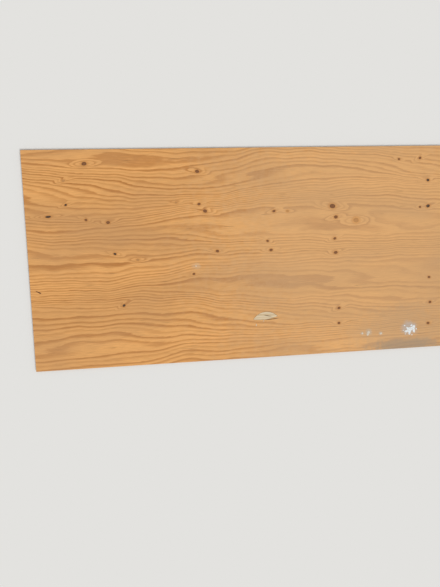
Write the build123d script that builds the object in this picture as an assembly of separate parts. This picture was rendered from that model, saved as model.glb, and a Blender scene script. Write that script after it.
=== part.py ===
from build123d import *
from dataclasses import dataclass
import math
import os

# Plywood sheet: five softwood veneers pressed into one board, lying flat with its better face up.
# Millimetres. The origin is the middle of the underside, +X runs along the face grain and +Z out
# of the face.

# Sheet as trimmed at the mill
SHEET_LENGTH = 2438.4
SHEET_WIDTH = 1219.2
CORNER_RADIUS = 4.0
ARRIS_RADIUS = 0.8

# Veneers from the back up, grain along, across, along, across, along
BACK_VENEER = 2.5
LOWER_CROSSBAND = 2.3
CENTRE_VENEER = 2.3
UPPER_CROSSBAND = 2.3
FACE_VENEER = 2.5

# Glue lines, as heights above the underside
BACK_GLUE_LINE = BACK_VENEER
LOWER_GLUE_LINE = BACK_GLUE_LINE + LOWER_CROSSBAND
UPPER_GLUE_LINE = LOWER_GLUE_LINE + CENTRE_VENEER
FACE_GLUE_LINE = UPPER_GLUE_LINE + UPPER_CROSSBAND
THICKNESS = FACE_GLUE_LINE + FACE_VENEER

# Ends and long edges that places are measured from
LEFT = -1
RIGHT = 1
NEAR = -1
FAR = 1

# A knot's outline is an oval with a few shallow lobes, drawn through this many points
KNOT_POINTS = 10
KNOT_LOBES = 3
LOBE_DEPTH = 0.09

# A core gap narrows inwards to this share of its mouth
GAP_TAPER = 0.45

# Every cutter starts this far outside the sheet, so that no skin is left over its mouth
OVERSHOOT = 2.0

# Lens-shaped repair patch let into the face, with its shrunken joint and a check along its grain
PATCH_FROM_RIGHT = 1124.0
PATCH_FROM_NEAR = 245.5
PATCH_LENGTH = 158.0
PATCH_WIDTH = 44.0
PATCH_TURN = 6.5
PATCH_JOINT_WIDTH = 0.7
PATCH_JOINT_DEPTH = 1.5
PATCH_CHECK_OFFSET = 20.0
PATCH_CHECK_LENGTH = 48.0
PATCH_CHECK_WIDTH = 1.4
PATCH_CHECK_TURN = -18.5

# Curved gouge near the left end
GOUGE_FROM_LEFT = 42.0
GOUGE_FROM_NEAR = 445.5
GOUGE_LENGTH = 32.0
GOUGE_BOW = 1.6
GOUGE_TURN = -28.0
GOUGE_WIDTH = 3.0
GOUGE_DEPTH = 0.9


@dataclass(frozen=True)
class Knothole:
    """A knot that has dropped out of an outer veneer, placed from the nearest end and edge."""

    end: int
    from_end: float
    edge: int
    from_edge: float
    length: float
    width: float
    turn: float


@dataclass(frozen=True)
class EndSplit:
    """A split in the back veneer that runs in from one end and closes to nothing."""

    end: int
    edge: int
    from_edge: float
    length: float
    mouth: float


@dataclass(frozen=True)
class CrossbandGap:
    """A gap between two crossband strips, open at one long edge of the sheet."""

    end: int
    from_end: float
    edge: int
    floor: float
    height: float
    mouth: float
    depth: float


@dataclass(frozen=True)
class CentreGap:
    """A gap between two strips of the centre veneer, open at one end of the sheet."""

    end: int
    edge: int
    from_edge: float
    mouth: float
    depth: float


# Open knotholes of the face, each one as deep as the face veneer
FACE_KNOTHOLES = [
    Knothole(LEFT, 219, FAR, 299, 13, 10, 20),
    Knothole(LEFT, 122, FAR, 361, 27, 11, 4),
    Knothole(LEFT, 470, FAR, 577, 15, 11, -15),
    Knothole(LEFT, 504, NEAR, 350, 16, 12, 30),
    Knothole(RIGHT, 98, FAR, 203, 17, 14, -10),
    Knothole(RIGHT, 98, FAR, 357, 21, 16, 15),
]

# The back is the rougher veneer, with larger knotholes in bands where the branches grew
BACK_KNOTHOLES = [
    Knothole(LEFT, 340, FAR, 182, 34, 26, 10),
    Knothole(LEFT, 352, NEAR, 395, 45, 33, -12),
    Knothole(LEFT, 890, FAR, 470, 29, 22, 35),
    Knothole(LEFT, 905, NEAR, 152, 37, 30, 0),
    Knothole(RIGHT, 985, FAR, 320, 48, 36, 18),
    Knothole(RIGHT, 430, NEAR, 242, 31, 24, -25),
    Knothole(RIGHT, 442, FAR, 140, 25, 21, 5),
]

END_SPLITS = [
    EndSplit(RIGHT, NEAR, 505, 420, 3.2),
    EndSplit(LEFT, FAR, 262, 300, 2.4),
]

CROSSBAND_GAPS = [
    CrossbandGap(LEFT, 395, NEAR, UPPER_GLUE_LINE, UPPER_CROSSBAND, 6, 110),
    CrossbandGap(LEFT, 1010, NEAR, BACK_GLUE_LINE, LOWER_CROSSBAND, 9, 140),
    CrossbandGap(RIGHT, 640, NEAR, UPPER_GLUE_LINE, UPPER_CROSSBAND, 4, 80),
    CrossbandGap(LEFT, 760, FAR, BACK_GLUE_LINE, LOWER_CROSSBAND, 5, 90),
    CrossbandGap(RIGHT, 980, FAR, UPPER_GLUE_LINE, UPPER_CROSSBAND, 8, 130),
    CrossbandGap(RIGHT, 352, FAR, BACK_GLUE_LINE, LOWER_CROSSBAND, 6, 75),
]

CENTRE_GAPS = [
    CentreGap(LEFT, NEAR, 330, 7, 120),
    CentreGap(RIGHT, FAR, 420, 5, 90),
]


def x_from_end(end, distance):
    """X of a point this far in from the left or right end."""
    return end * (SHEET_LENGTH / 2 - distance)


def y_from_edge(edge, distance):
    """Y of a point this far in from the near or far long edge."""
    return edge * (SHEET_WIDTH / 2 - distance)


def pressed_board():
    """The trimmed board with its corners and arrises worn round."""
    outline = RectangleRounded(SHEET_LENGTH, SHEET_WIDTH, CORNER_RADIUS)
    board = extrude(outline, THICKNESS)
    rims = board.faces().filter_by(Axis.Z).edges()
    return fillet(rims, ARRIS_RADIUS)


def knot_outline(knot):
    """The lobed oval that a knot leaves, lying along the grain before it is turned."""
    points = []
    for step in range(KNOT_POINTS):
        angle = 2 * math.pi * step / KNOT_POINTS
        reach = 1 + LOBE_DEPTH * math.sin(KNOT_LOBES * angle + math.radians(knot.from_end))
        x = knot.length / 2 * reach * math.cos(angle)
        y = knot.width / 2 * reach * math.sin(angle)
        points.append((x, y))
    return make_face(Spline(*points, periodic=True))


def knothole_cutter(knot, floor, depth):
    """A knot-shaped plug that stands on floor and fills one outer veneer."""
    x = x_from_end(knot.end, knot.from_end)
    y = y_from_edge(knot.edge, knot.from_edge)
    return Pos(x, y, floor) * Rot(0, 0, knot.turn) * extrude(knot_outline(knot), depth)


def face_knotholes():
    """Cutters that open the face veneer down to the crossband under it."""
    depth = FACE_VENEER + OVERSHOOT
    return [knothole_cutter(knot, FACE_GLUE_LINE, depth) for knot in FACE_KNOTHOLES]


def back_knotholes():
    """Cutters that open the back veneer up to the crossband over it."""
    depth = BACK_VENEER + OVERSHOOT
    return [knothole_cutter(knot, -OVERSHOOT, depth) for knot in BACK_KNOTHOLES]


def end_split(split):
    """A thin wedge through the back veneer, widest at the sheet's end."""
    mouth_x = x_from_end(split.end, -OVERSHOOT)
    tip_x = x_from_end(split.end, split.length)
    y = y_from_edge(split.edge, split.from_edge)
    half = split.mouth / 2
    wedge = make_face(Polyline((mouth_x, y - half), (mouth_x, y + half), (tip_x, y), close=True))
    return Pos(0, 0, -OVERSHOOT) * extrude(wedge, BACK_VENEER + OVERSHOOT)


def gap_outline(mouth, depth):
    """Plan of a core gap that opens towards -Y, from its mouth to its narrower inner end."""
    half = mouth / 2
    inner = half * GAP_TAPER
    corners = [(-half, -OVERSHOOT), (half, -OVERSHOOT), (inner, depth), (-inner, depth)]
    return make_face(Polyline(*corners, close=True))


def crossband_gap(gap):
    """A gap as high as its crossband, running in from a long edge."""
    quarter_turns = 0 if gap.edge == NEAR else 180
    place = Pos(x_from_end(gap.end, gap.from_end), y_from_edge(gap.edge, 0), gap.floor)
    return place * Rot(0, 0, quarter_turns) * extrude(gap_outline(gap.mouth, gap.depth), gap.height)


def centre_gap(gap):
    """A gap as high as the centre veneer, running in from an end."""
    place = Pos(x_from_end(gap.end, 0), y_from_edge(gap.edge, gap.from_edge), LOWER_GLUE_LINE)
    turn = Rot(0, 0, 90 * gap.end)
    return place * turn * extrude(gap_outline(gap.mouth, gap.depth), CENTRE_VENEER)


def lens(length, width):
    """A pointed lens between two equal arcs, along X."""
    tips = [(-length / 2, 0), (length / 2, 0)]
    upper = ThreePointArc(tips[0], (0, width / 2), tips[1])
    lower = ThreePointArc(tips[1], (0, -width / 2), tips[0])
    return make_face([upper, lower])


def patch_cutters():
    """The open joint round the repair patch, and the check that runs along its grain."""
    place = Pos(x_from_end(RIGHT, PATCH_FROM_RIGHT), y_from_edge(NEAR, PATCH_FROM_NEAR), THICKNESS)
    outer = lens(PATCH_LENGTH, PATCH_WIDTH)
    inner = offset(outer, amount=-PATCH_JOINT_WIDTH, kind=Kind.INTERSECTION)
    joint = Pos(0, 0, -PATCH_JOINT_DEPTH) * extrude(outer - inner, PATCH_JOINT_DEPTH + OVERSHOOT)
    slit = extrude(lens(PATCH_CHECK_LENGTH, PATCH_CHECK_WIDTH), FACE_VENEER + OVERSHOOT)
    check = Pos(PATCH_CHECK_OFFSET, 0, -FACE_VENEER) * Rot(0, 0, PATCH_CHECK_TURN) * slit
    return [place * Rot(0, 0, PATCH_TURN) * cutter for cutter in (joint, check)]


def gouge_cutter():
    """A round-bottomed groove along a shallow arc, with round ends."""
    radius = (GOUGE_WIDTH**2 / 4 + GOUGE_DEPTH**2) / (2 * GOUGE_DEPTH)
    half = GOUGE_LENGTH / 2 - GOUGE_WIDTH / 2
    path = ThreePointArc((-half, 0), (0, GOUGE_BOW), (half, 0))
    section = Plane(origin=path @ 0, z_dir=path % 0) * Circle(radius)
    groove = sweep(section, path=path)
    for end in (path @ 0, path @ 1):
        groove += Pos(end) * Sphere(radius)
    x = x_from_end(LEFT, GOUGE_FROM_LEFT)
    y = y_from_edge(NEAR, GOUGE_FROM_NEAR)
    return Pos(x, y, THICKNESS + radius - GOUGE_DEPTH) * Rot(0, 0, GOUGE_TURN) * groove


def plywood_sheet():
    """The whole sheet: the board less its knotholes, splits, core gaps and marks."""
    cutters = face_knotholes() + back_knotholes() + patch_cutters() + [gouge_cutter()]
    cutters += [end_split(split) for split in END_SPLITS]
    cutters += [crossband_gap(gap) for gap in CROSSBAND_GAPS]
    cutters += [centre_gap(gap) for gap in CENTRE_GAPS]
    return pressed_board() - cutters


os.makedirs("parts", exist_ok=True)
export_step(plywood_sheet(), "parts/plywood_sheet.step")
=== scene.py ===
"""Weathered softwood plywood sheet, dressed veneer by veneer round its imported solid.

The five veneers, the repair patch and the paint marks replace the plain solid. They lie where it
lies, in metres, with +X along the face grain and +Z out of the face.
"""

import logging
import math
from collections.abc import Callable, Iterator, Sequence
from contextlib import contextmanager
from dataclasses import KW_ONLY, dataclass, replace
from enum import Enum, IntEnum
from itertools import accumulate
from typing import Self

import bpy
from mathutils import Matrix, Vector


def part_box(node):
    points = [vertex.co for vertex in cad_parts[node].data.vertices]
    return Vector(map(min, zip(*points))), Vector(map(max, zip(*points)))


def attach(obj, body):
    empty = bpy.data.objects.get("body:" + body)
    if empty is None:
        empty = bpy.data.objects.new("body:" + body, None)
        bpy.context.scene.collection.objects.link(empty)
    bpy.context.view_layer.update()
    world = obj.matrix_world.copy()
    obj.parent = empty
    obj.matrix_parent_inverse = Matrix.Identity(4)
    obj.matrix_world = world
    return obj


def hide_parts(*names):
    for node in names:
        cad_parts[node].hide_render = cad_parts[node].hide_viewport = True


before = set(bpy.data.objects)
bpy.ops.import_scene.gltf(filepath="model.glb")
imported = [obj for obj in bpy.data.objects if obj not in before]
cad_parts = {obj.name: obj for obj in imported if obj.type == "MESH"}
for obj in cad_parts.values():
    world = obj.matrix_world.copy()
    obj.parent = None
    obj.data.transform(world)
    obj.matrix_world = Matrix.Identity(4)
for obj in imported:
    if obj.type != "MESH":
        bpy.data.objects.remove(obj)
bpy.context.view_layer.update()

LOG = logging.getLogger("plywood_sheet")
NODE = "plywood_sheet"
MM = 0.001

Object = bpy.types.Object
Socket = bpy.types.NodeSocket
Place = Sequence[float]
Look = dict[str, Socket | float]

# Sockets of Blender's Mix node when it mixes colours
MIX_FACTOR, MIX_A, MIX_B, MIX_RESULT = 0, 6, 7, 2
# How closely a way follows an axis, from 0 to 1, to count as running along it
ALIGNED = 0.9


def linear(colour: str) -> tuple[float, ...]:
    """Turns an sRGB colour, such as #E0A461, into the linear one with alpha that shaders take."""
    channels = [int(colour[i : i + 2], 16) / 255 for i in (1, 3, 5)]
    return (*(c / 12.92 if c <= 0.04045 else ((c + 0.055) / 1.055) ** 2.4 for c in channels), 1.0)


@dataclass(frozen=True)
class Pen:
    """Draws nodes in one tree, for one point of the sheet.

    Attributes:
        tree: The node tree of a material, a world or a modifier.
        place: The socket that gives the point, in metres.
    """

    tree: bpy.types.NodeTree
    place: Socket | None = None

    def at(self, place: Socket) -> Self:
        """The same pen at another point."""
        return replace(self, place=place)

    def add(self, kind: str, links: dict | Sequence = (), out: int | str = 0, **settings) -> Socket:
        """Adds one node, sets it and feeds its inputs.

        Args:
            kind: Blender's name for the node type. A shader node's goes without its ShaderNode.
            links: A socket or a constant for each input, in their order or by name or number.
            out: The output to return.
            **settings: The node's own settings.

        Returns:
            The chosen output, or the node itself if it has none.
        """
        node = self.tree.nodes.new(kind if "Node" in kind else f"ShaderNode{kind}")
        for name, value in settings.items():
            setattr(node, name, value)
        for key, value in links.items() if isinstance(links, dict) else enumerate(links):
            if isinstance(value, Socket):
                self.tree.links.new(value, node.inputs[key])
            else:
                node.inputs[key].default_value = value
        return node.outputs[out] if len(node.outputs) else node


@dataclass(frozen=True)
class Noise:
    """Smooth noise that is stretched along each axis and brought to a range.

    Attributes:
        rates: Waves a metre along each axis.
        detail: How many finer waves are laid over them.
        start, stop: Raw noise, which lies around one half, at which it starts and stops to rise.
        least, most: What it gives below the start and above the stop.
    """

    rates: Place
    detail: float
    start: float = 0.0
    stop: float = 1.0
    least: float = 0.0
    most: float = 1.0

    def raw(self, pen: Pen) -> Socket:
        """Draws the raw noise."""
        stretched = pen.add("VectorMath", (pen.place, self.rates), operation="MULTIPLY")
        return pen.add("TexNoise", {"Vector": stretched, "Scale": 1.0, "Detail": self.detail})

    def draw(self, pen: Pen) -> Socket:
        """Draws the noise, brought to its range."""
        return pen.add("MapRange", (self.raw(pen), self.start, self.stop, self.least, self.most))


class Element(Enum):
    """What is selected on a mesh."""

    CORNER = "VERT"
    EDGE = "EDGE"
    FACE = "FACE"


class Leaving(Enum):
    """What a cut leaves of a solid: what lies outside its cutter or inside it."""

    OUTSIDE = "DIFFERENCE"
    INSIDE = "INTERSECT"


def make_active(*objects: Object) -> None:
    """Selects these objects alone, and makes the first of them the active one.

    Args:
        *objects: The objects. With none, nothing is selected.
    """
    for thing in bpy.context.selected_objects:
        thing.select_set(False)
    for obj in objects:
        obj.select_set(True)
        bpy.context.view_layer.objects.active = objects[0]


@contextmanager
def editing(obj: Object, element: Element = Element.CORNER) -> Iterator[None]:
    """Puts an object in edit mode with nothing selected, and back again at the end.

    Args:
        obj: The mesh object to edit.
        element: What is selected on it.
    """
    make_active(obj)
    bpy.ops.object.mode_set(mode="EDIT")
    bpy.ops.mesh.select_mode(type=element.value)
    bpy.ops.mesh.select_all(action="DESELECT")
    yield
    bpy.ops.object.mode_set(mode="OBJECT")


def pick(obj: Object, wanted: Callable[[Vector, Vector], bool], element: Element) -> None:
    """Selects corners, edges or faces of the object in edit mode by their place.

    Args:
        obj: The object that is being edited.
        wanted: Takes an element's middle and its way, and says whether it is selected. The way
            runs along an edge, and is the normal of a face or a corner.
        element: What is selected.
    """
    bpy.ops.mesh.select_mode(type=element.value)
    bpy.ops.mesh.select_all(action="DESELECT")
    bpy.ops.object.mode_set(mode="OBJECT")
    mesh = obj.data
    if element is Element.FACE:
        spots = [(face, face.center, face.normal) for face in mesh.polygons]
    elif element is Element.CORNER:
        spots = [(corner, corner.co, corner.normal) for corner in mesh.vertices]
    else:
        ends = [[mesh.vertices[i].co for i in edge.vertices] for edge in mesh.edges]
        spots = [(edge, (a + b) / 2, (b - a).normalized()) for edge, (a, b) in zip(mesh.edges, ends)]
    for item, middle, way in spots:
        item.select = wanted(middle, way)
    bpy.ops.object.mode_set(mode="EDIT")


def face_outwards() -> None:
    """Turns every face of the mesh in edit mode outwards."""
    bpy.ops.mesh.select_all(action="SELECT")
    bpy.ops.mesh.normals_make_consistent(inside=False)


def added(operator: Callable, name: str, **settings) -> Object:
    """Adds a primitive as the start of a shape.

    Args:
        operator: Blender's operator for the primitive.
        name: The object's name.
        **settings: The primitive's size and place.

    Returns:
        The object, with its place in its mesh.
    """
    make_active()
    operator(**settings)
    made = bpy.context.object
    made.name = made.data.name = name
    bpy.ops.object.transform_apply(location=True, rotation=True, scale=True)
    return made


def settle(obj: Object, spot: Place, turn: float = 0.0, size: Place = (1, 1, 1)) -> None:
    """Sizes a shape about the origin, turns it and moves it, all in its mesh.

    Args:
        obj: The object.
        spot: Where the origin goes, in metres.
        turn: Degrees about +Z.
        size: How much larger it gets along each axis.
    """
    obj.location, obj.scale = spot, size
    obj.rotation_euler.z = math.radians(turn)
    make_active(obj)
    bpy.ops.object.transform_apply(location=True, rotation=True, scale=True)


def finish_with(obj: Object, kind: str, **settings) -> None:
    """Adds one modifier to an object and applies it.

    Args:
        obj: The object.
        kind: The modifier's type.
        **settings: The modifier's own settings.
    """
    make_active(obj)
    bpy.ops.object.modifier_add(type=kind)
    modifier = obj.modifiers[-1]
    for name, value in settings.items():
        setattr(modifier, name, value)
    bpy.ops.object.modifier_apply(modifier=modifier.name)


def cut(obj: Object, cutter: Object, leaving: Leaving = Leaving.OUTSIDE) -> None:
    """Cuts one solid by another, which is thrown away."""
    finish_with(obj, "BOOLEAN", operation=leaving.value, object=cutter, solver="EXACT")
    bpy.data.meshes.remove(cutter.data)


def join(parts: list[Object]) -> None:
    """Makes several objects that don't touch one object, the first of them."""
    make_active(*parts)
    bpy.ops.object.join()


def smooth(obj: Object, sharp: float = 40.0) -> None:
    """Shades an object smooth, apart from the edges that bend by more than so many degrees."""
    make_active(obj)
    bpy.ops.object.shade_smooth_by_angle(angle=math.radians(sharp))


def grid_slab(name: str, middle: Place, size: Place, cells: Sequence[int], other: float) -> Object:
    """Makes a slab that has a fine grid on one flat side and a single face on the other.

    Args:
        name: Its name.
        middle: The middle of the fine side, in metres.
        size: Its length and width, in metres.
        cells: Cells of the grid along its length and width.
        other: Height of the other side, in metres.

    Returns:
        The slab.
    """
    along, across = cells
    slab = added(bpy.ops.mesh.primitive_grid_add, name, x_subdivisions=along, y_subdivisions=across, size=1)
    settle(slab, middle, size=(*size, 1))
    with editing(slab, Element.EDGE):
        bpy.ops.mesh.select_non_manifold()
        bpy.ops.mesh.extrude_edges_move(TRANSFORM_OT_translate={"value": (0, 0, other - middle[2])})
        bpy.ops.mesh.edge_face_add()
        face_outwards()
    return slab


@dataclass(frozen=True)
class Oval:
    """An oval place on the sheet.

    Attributes:
        x, y: Its middle, in millimetres from the middle of the sheet.
        length, width: Its size along and across its own axis, in millimetres.
        turn: Degrees from +X to its axis.
    """

    x: float
    y: float
    length: float
    width: float
    turn: float

    @classmethod
    def several(cls, *rows: Sequence, **settings) -> tuple[Self, ...]:
        """Makes several ovals, each from its own row of sizes, and all with the same settings."""
        return tuple(cls(*row, **settings) for row in rows)

    def fit(self, shape: Object, floor: float, height: float) -> None:
        """Brings a shape that is one metre each way to the oval's place and size."""
        size = (self.length * MM, self.width * MM, height)
        settle(shape, (self.x * MM, self.y * MM, floor), self.turn, size)

    def offset(self, pen: Pen) -> Socket:
        """Draws how far a point lies from the oval's middle, in the oval's own radii.

        Args:
            pen: The pen to draw with.

        Returns:
            The offset along and across the oval.
        """
        away = pen.add("VectorMath", (pen.place, (self.x * MM, self.y * MM, 0)), operation="SUBTRACT")
        back = {"Vector": away, "Angle": -math.radians(self.turn)}
        away = pen.add("VectorRotate", back, rotation_type="Z_AXIS")
        radii = (2 / (self.length * MM), 2 / (self.width * MM), 0)
        return pen.add("VectorMath", (away, radii), operation="MULTIPLY")


@dataclass(frozen=True)
class StainOrShade(Oval):
    """A discoloured place, which turns the wood to a colour by a strength from 0 to 1. A few are painted
    shade.
    """

    colour: str
    strength: float


@dataclass(frozen=True)
class Lens(Oval):
    """A pointed lens, the meeting of two round bars, as cracks and patches are shaped.

    Attributes:
        bow: How far its middle lies off the line between its tips, in millimetres.
        sides: Sides of each round bar.
    """

    bow: float = 0.0
    sides: int = 192

    def solid(self, low: float, high: float, joint: float = 0.0) -> Object:
        """Makes the lens as an upright solid.

        Args:
            low, high: Heights of its ends, in metres.
            joint: How much narrower it gets on each side, in millimetres.

        Returns:
            The solid.
        """
        # A joint of one width takes about twice as much off each tip as off each side
        length, width = self.length - 4 * joint, self.width - 2 * joint
        bars = []
        for side in (-1, 1):
            bulge = width / 2 - side * self.bow
            radius = (length**2 / 4 + bulge**2) / (2 * bulge)
            place = (0, side * (radius - bulge) * MM, 0)
            sizes = {"vertices": self.sides, "radius": radius * MM, "depth": high - low, "location": place}
            bars.append(added(bpy.ops.mesh.primitive_cylinder_add, "lens", **sizes))
        cut(bars[0], bars[1], Leaving.INSIDE)
        settle(bars[0], (self.x * MM, self.y * MM, (low + high) / 2), self.turn)
        return bars[0]


class KnotKind(Enum):
    """How sound a knot is."""

    TIGHT = "tight"
    OPEN = "open"
    PALE = "pale"


@dataclass(frozen=True)
class Knot(Oval):
    """One knot of a veneer, with how sound it is."""

    kind: KnotKind = KnotKind.TIGHT

    def plug(self, floor: float, height: float) -> Object:
        """Makes the lobed oval plug that the knot leaves room for when it drops out.

        Args:
            floor: Height of the plug's underside, in metres.
            height: The plug's height, in metres.

        Returns:
            The plug.
        """
        radius, lobes, lobe_reach, lobe_width = 0.5, 3, 1.09, 0.24
        plug = added(bpy.ops.mesh.primitive_circle_add, "plug", vertices=24, radius=radius, fill_type="NGON")
        with editing(plug):
            for lobe in range(lobes):
                # Each knot's place turns its lobes another way
                turn = Matrix.Rotation(math.tau * lobe / lobes + self.x, 3, "Z")
                tip = turn @ Vector((radius, 0, 0))
                pick(plug, lambda place, _, tip=tip: (place - tip).length < lobe_width, Element.CORNER)
                bpy.ops.transform.resize(value=(lobe_reach, lobe_reach, 1), center_override=(0, 0, 0))
            bpy.ops.mesh.select_all(action="SELECT")
            bpy.ops.mesh.extrude_region_move(TRANSFORM_OT_translate={"value": (0, 0, 1)})
            face_outwards()
        self.fit(plug, floor, height)
        return plug


FACE_KNOTS = (
    *Knot.several(
        (-1000, 311, 13, 10, 20), (-1097, 249, 27, 11, 4), (-749, 33, 15, 11, -15),
        (-715, -260, 16, 12, 30), (1121, 407, 17, 14, -10), (1121, 253, 21, 16, 15),
        kind=KnotKind.OPEN,
    ),
    *Knot.several(
        (-777, 209, 18, 14, 10), (-896, 226, 14, 11, -20), (-888, 532, 24, 17, 5),
        (1070, 248, 12, 10, 0), (1071, 538, 16, 12, 25), (938, 533, 13, 10, -10),
        (542, 203, 20, 16, 12), (522, 267, 30, 22, -8), (533, 77, 16, 12, 20),
        (537, -6, 20, 15, 10), (1127, -178, 15, 12, -15), (1133, -332, 16, 13, 10),
        (1120, -462, 17, 13, -5), (551, -339, 17, 13, 20), (549, -430, 15, 12, 0),
        (-268, 481, 20, 16, -8), (-232, 258, 20, 16, -12), (-265, 298, 16, 12, 8),
        (169, 247, 16, 12, 15), (126, 76, 14, 11, -25), (145, 23, 18, 13, 5),
        (-170, 28, 17, 13, -10), (-311, -98, 14, 11, 18),
        kind=KnotKind.TIGHT,
    ),
    *Knot.several(
        (666, 181, 28, 25, 0), (-395, 310, 14, 10, 0), (250, 245, 14, 11, 0), (-624, -5, 17, 13, 0),
        (-1004, 442, 16, 12, 15),
        kind=KnotKind.PALE,
    ),
)

BACK_KNOTS = (
    *Knot.several(
        (-879, 428, 34, 26, 10), (-867, -215, 45, 33, -12), (-329, 140, 29, 22, 35),
        (-314, -458, 37, 30, 0), (234, 290, 48, 36, 18), (789, -368, 31, 24, -25),
        (777, 470, 25, 21, 5),
        kind=KnotKind.OPEN,
    ),
    *Knot.several(
        (-880, 90, 38, 27, 8), (-322, 445, 30, 24, -14), (228, -60, 42, 31, 10),
        (241, -410, 27, 21, 0), (795, 65, 35, 28, 22), (-1120, -505, 22, 16, 5),
        (1130, 250, 24, 18, -9),
        kind=KnotKind.TIGHT,
    ),
)


@dataclass(frozen=True)
class RimGap:
    """A gap between two strips of an inner veneer or a split in the back, open at the rim.

    Attributes:
        x, y: Its mouth on the rim, in millimetres from the middle of the sheet.
        mouth: Its width at the rim, in millimetres.
        depth: How far it runs in, in millimetres.
        heading: Degrees from +Y to the way it runs in.
        taper: Width of its inner end, as a share of its mouth.
        overshoot: How far its cutter stands out of the rim, in millimetres.
    """

    x: float
    y: float
    mouth: float
    depth: float
    heading: float
    taper: float = 0.45
    overshoot: float = 20.0

    def wedge(self, floor: float, height: float) -> Object:
        """Makes the tapered wedge that cuts this gap.

        Args:
            floor: Height of the wedge's underside, in metres.
            height: Its height, in metres.

        Returns:
            The wedge.
        """
        middle = Vector((0, (self.depth - self.overshoot) / 2 * MM, floor + height / 2))
        size = (self.mouth * MM, (self.depth + self.overshoot) * MM, height)
        wedge = added(bpy.ops.mesh.primitive_cube_add, "gap", size=1, location=middle, scale=size)
        with editing(wedge):
            pick(wedge, lambda place, _: place.y > middle.y, Element.CORNER)
            bpy.ops.transform.resize(value=(self.taper, 1, 1), center_override=middle)
        settle(wedge, (self.x * MM, self.y * MM, 0), self.heading)
        return wedge


class GrainWay(Enum):
    """Which way the fibres of a veneer run in the sheet, as degrees from +X."""

    ALONG = 0.0
    ACROSS = 90.0


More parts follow.
